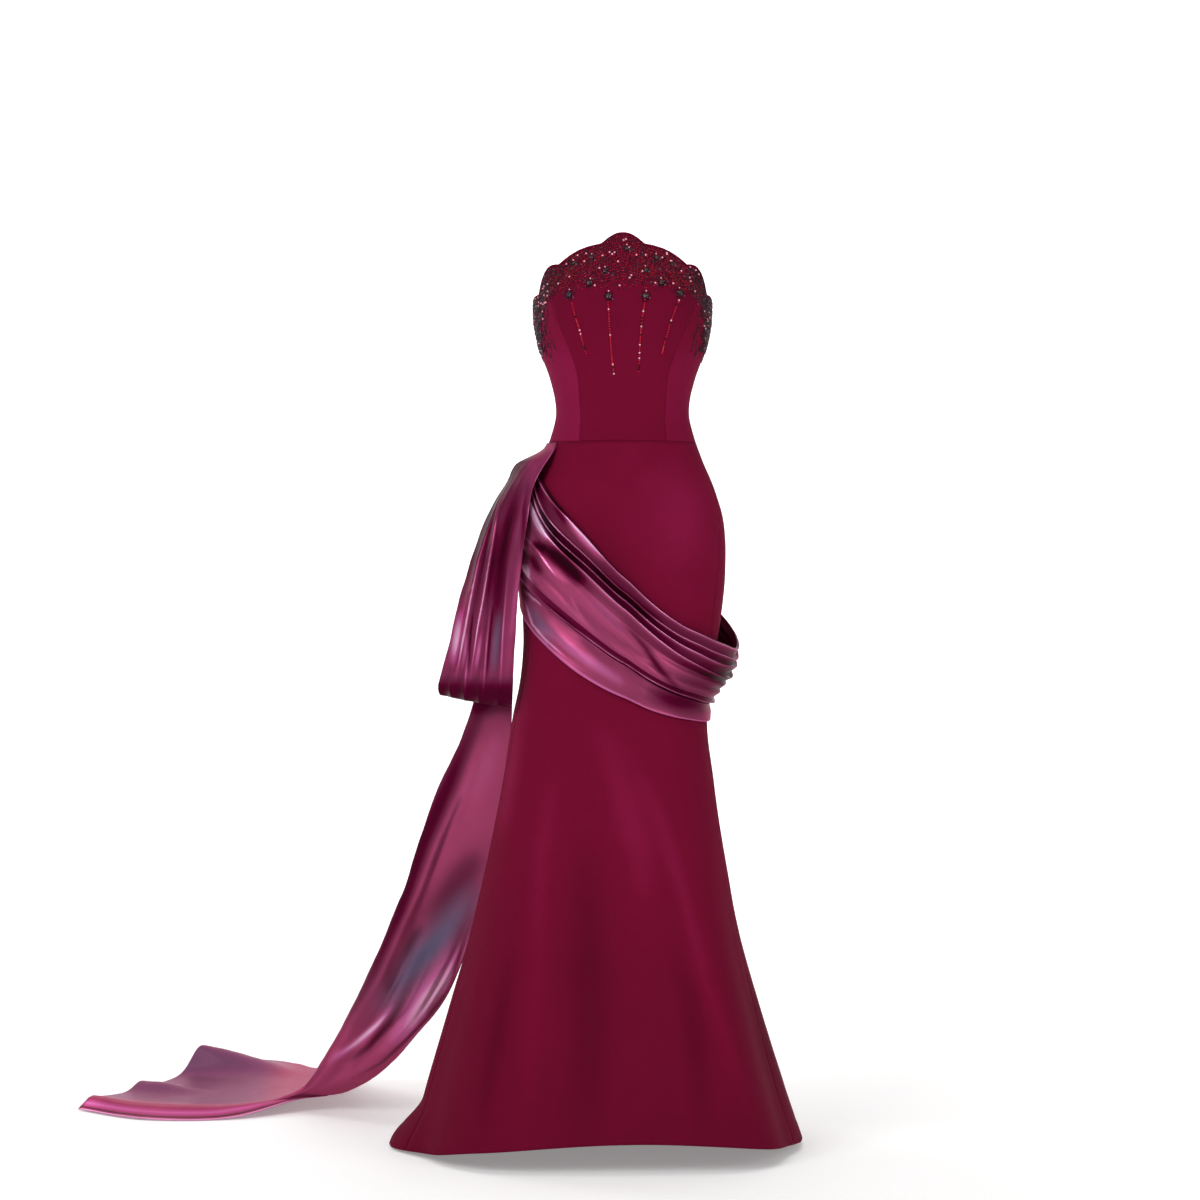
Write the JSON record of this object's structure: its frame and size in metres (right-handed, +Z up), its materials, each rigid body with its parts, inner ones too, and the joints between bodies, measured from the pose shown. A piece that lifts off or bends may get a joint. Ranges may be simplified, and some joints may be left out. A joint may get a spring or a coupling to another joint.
{
  "type": "evening gown",
  "caption": "Strapless floor-length gown with a scalloped beaded top, a low satin wrap round the hips, a pleated loop at one hip and a long satin train.",
  "frame": {"origin": "centre of the waist, at the level where the wearer's body holds the gown up", "axes": "+Z up, the front faces -Y, +X to the right of someone facing the gown"},
  "size_m": [1.248, 1.1876, 1.4808],
  "materials": {
    "crepe": "matt burgundy crepe",
    "satin": "rose-wine satin with a soft shine",
    "stone": "dark faceted glass",
    "zip_metal": "wine enamel"
  },
  "bodies": {
    "gown": {"bodice_front": "crepe", "bodice_side_front_left": "crepe", "bodice_side_front_right": "crepe", "bodice_back_left": "crepe", "bodice_back_right": "crepe", "skirt_front": "crepe", "skirt_back_left": "crepe", "skirt_back_right": "crepe", "sash": "satin", "bow_loop": "satin", "train": "satin", "stone_01": "stone", "stone_02": "stone", "stone_03": "stone", "stone_04": "stone", "stone_05": "stone", "stone_06": "stone", "stone_07": "stone", "stone_08": "stone", "stone_09": "stone", "stone_10": "stone", "stone_11": "stone", "stone_12": "stone", "stone_13": "stone", "zip_slider": "zip_metal"},
    "zip_pull": {"zip_pull": "zip_metal"}
  },
  "joints": [
    {"name": "zip_pull_hinge", "type": "hinge", "parent": "gown", "child": "zip_pull", "pos_m": [0, 0.10554, 0.1392], "axis": [1, 0, 0], "range_deg": [0, 165]}
  ]
}
